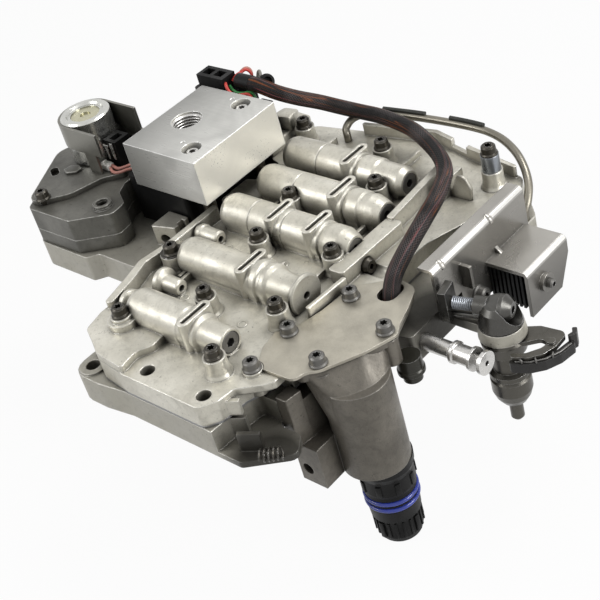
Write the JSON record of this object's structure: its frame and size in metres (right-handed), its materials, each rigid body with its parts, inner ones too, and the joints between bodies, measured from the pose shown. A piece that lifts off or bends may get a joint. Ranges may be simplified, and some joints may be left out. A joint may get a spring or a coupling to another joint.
{
  "type": "transmission valve body",
  "caption": "Cast valve body of an automatic gearbox: ribbed housing with spool barrels, milled port block, solenoid, cover, case connector, spring bracket, selector and wiring loom.",
  "frame": {"origin": "a point on the face that bolts to the gearbox case, under the middle of the valve barrels", "axes": "+X along the valve barrels towards the selector, +Y across the barrels, +Z away from the gearbox case"},
  "size_m": [0.4287, 0.2892, 0.1995],
  "materials": {
    "cast": "satin die-cast",
    "cast_dark": "dull die-cast",
    "billet": "milled",
    "cover_steel": "rolled sheet",
    "sheet_steel": "rolled sheet",
    "zinc_sheet": "bright zinc",
    "tower_cast": "sand-cast",
    "black_steel": "black oxide",
    "grey_steel": "phosphate grey",
    "bright_steel": "ground and polished",
    "black_plastic": "moulded",
    "black_rubber": "moulded",
    "blue_seal": "moulded ring",
    "brass_face": "dull",
    "braid": "woven sleeve",
    "tube_steel": "dark tube"
  },
  "bodies": {
    "housing": {"transfer_plate": "cast", "separator_plate": "sheet_steel", "upper_housing": "cast", "valve_spring_1": "grey_steel", "valve_spring_2": "grey_steel", "valve_spring_3": "grey_steel", "valve_spring_4": "grey_steel", "valve_spring_5": "grey_steel", "end_plugs": "grey_steel", "end_disc": "grey_steel", "housing_screws": "black_steel", "washer_bolt": "black_steel", "spacer_bolt": "black_steel", "spacer_sleeve": "grey_steel", "cover_screws": "grey_steel", "wall_plug": "grey_steel", "cover_plate": "cover_steel", "connector_tower": "tower_cast", "tower_cap": "black_rubber", "case_connector": "black_plastic", "connector_seals": "blue_seal", "filter_block": "billet", "block_screws": "bright_steel", "solenoid_base": "black_plastic", "block_posts": "grey_steel", "harness_plug_a": "black_plastic", "harness_plug_b": "black_plastic", "governor_base": "cast_dark", "governor_body": "cast_dark", "retainer_plate": "cast_dark", "retainer_screw": "black_steel", "solenoid_can": "zinc_sheet", "solenoid_core": "brass_face", "solenoid_strap": "grey_steel", "solenoid_plug": "black_plastic", "adjust_bracket": "zinc_sheet", "spring_boot": "black_rubber", "bracket_screws": "grey_steel", "adjusting_screw": "grey_steel", "regulator_spring": "grey_steel", "harness_sleeve": "braid", "boost_tube": "tube_steel"},
    "selector": {"manual_lever": "grey_steel", "selector_comb": "black_steel"},
    "manual_valve_body": {"manual_valve": "bright_steel"},
    "throttle": {"throttle_lever": "grey_steel", "clamp_bolt": "grey_steel", "clamp_nut": "grey_steel"},
    "regulator": {"regulator_valve": "bright_steel"},
    "shift_1": {"shift_valve_1": "bright_steel"},
    "shift_2": {"shift_valve_2": "bright_steel"},
    "shift_3": {"shift_valve_3": "bright_steel"},
    "shift_4": {"shift_valve_4": "bright_steel"},
    "shift_5": {"shift_valve_5": "bright_steel"}
  },
  "joints": [
    {"name": "selector_turn", "type": "hinge", "parent": "housing", "child": "selector", "pos_m": [0.1525, 0.068, 0.01], "axis": [0, 0, 1], "range_deg": [-27, 27]},
    {"name": "manual_slide", "type": "slide", "parent": "housing", "child": "manual_valve_body", "axis": [1, 0, 0], "range_m": [-0.0083, 0.0083]},
    {"name": "throttle_turn", "type": "hinge", "parent": "housing", "child": "throttle", "pos_m": [0.1525, 0.068, 0.022], "axis": [0, 0, 1], "range_deg": [-15, 10]},
    {"name": "regulator_slide", "type": "slide", "parent": "housing", "child": "regulator", "axis": [1, 0, 0], "range_m": [0, 0.003], "stiffness_N_per_m": 1500, "springref_m": -0.004, "deforming": ["regulator_spring"]},
    {"name": "shift_slide_1", "type": "slide", "parent": "housing", "child": "shift_1", "axis": [1, 0, 0], "range_m": [0, 0.008], "stiffness_N_per_m": 400, "springref_m": -0.008, "deforming": ["valve_spring_1"]},
    {"name": "shift_slide_2", "type": "slide", "parent": "housing", "child": "shift_2", "axis": [1, 0, 0], "range_m": [0, 0.008], "stiffness_N_per_m": 400, "springref_m": -0.008, "deforming": ["valve_spring_2"]},
    {"name": "shift_slide_3", "type": "slide", "parent": "housing", "child": "shift_3", "axis": [1, 0, 0], "range_m": [0, 0.008], "stiffness_N_per_m": 400, "springref_m": -0.008, "deforming": ["valve_spring_3"]},
    {"name": "shift_slide_4", "type": "slide", "parent": "housing", "child": "shift_4", "axis": [1, 0, 0], "range_m": [0, 0.008], "stiffness_N_per_m": 400, "springref_m": -0.008, "deforming": ["valve_spring_4"]},
    {"name": "shift_slide_5", "type": "slide", "parent": "housing", "child": "shift_5", "axis": [1, 0, 0], "range_m": [0, 0.008], "stiffness_N_per_m": 400, "springref_m": -0.008, "deforming": ["valve_spring_5"]}
  ],
  "couplings": [
    {"joint": "manual_slide", "follows": "selector_turn", "m_per_rad": 0.01735}
  ]
}
